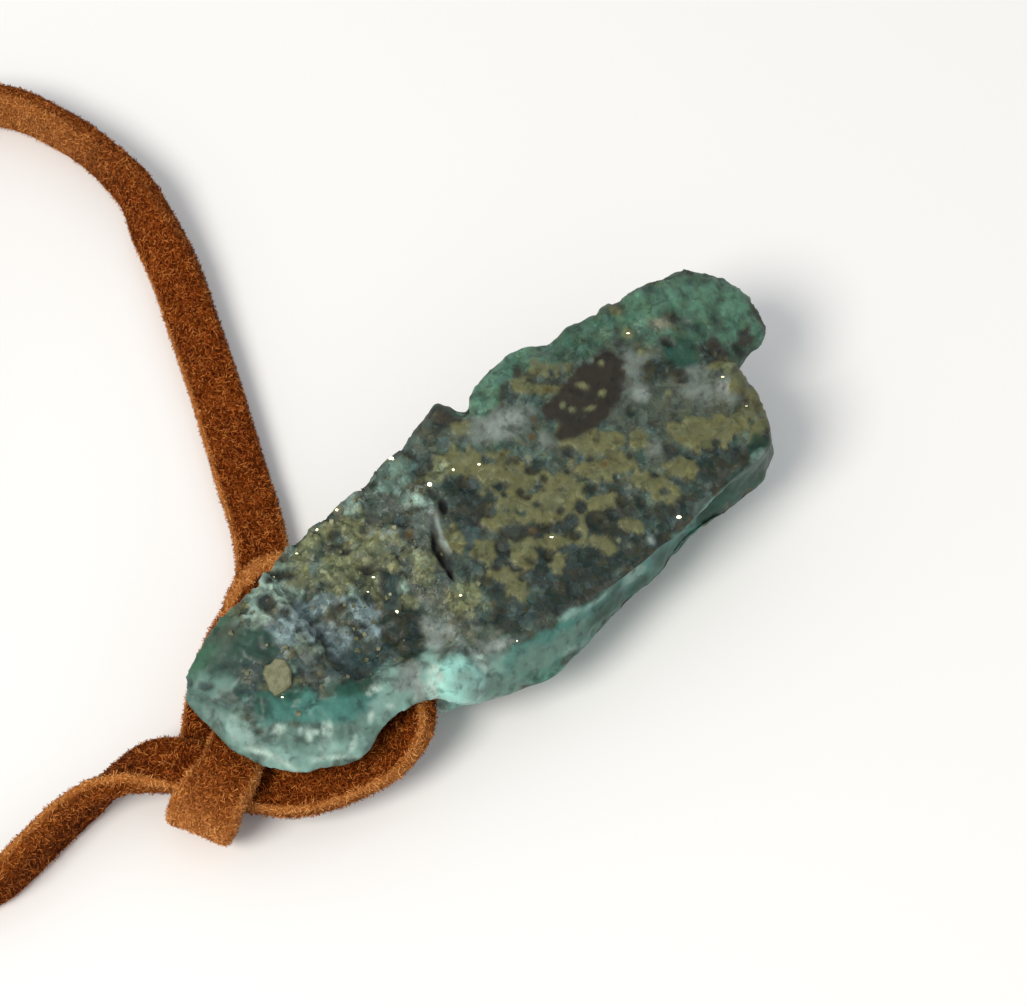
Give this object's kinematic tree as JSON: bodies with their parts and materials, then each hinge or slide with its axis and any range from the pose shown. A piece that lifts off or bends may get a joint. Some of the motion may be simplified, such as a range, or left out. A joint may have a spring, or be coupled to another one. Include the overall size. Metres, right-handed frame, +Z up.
{
  "type": "raw emerald pendant",
  "caption": "Rough green emerald in dark pyrite-bearing rock, drilled through its narrow end and tied on a flat suede lace, so it can be worn as a pendant.",
  "frame": {"origin": "Middle of the stone's footprint, on the surface that the stone rests on.", "axes": "+X along the stone's length towards its broad end, +Y across it towards the side where the lace enters, +Z up."},
  "size_m": [0.083, 0.0677, 0.0087],
  "materials": {
    "emerald_in_matrix": "rough broken surface, waxy green mineral with dark rock and dull brassy pyrite",
    "suede": "brushed brown suede with short nap and paler cut edges"
  },
  "bodies": {
    "root": {"emerald_stone": "emerald_in_matrix", "lace_upper_strand": "suede", "lace_lower_strand": "suede", "lace_coil": "suede", "lace_end_knot": "suede"}
  },
  "joints": []
}
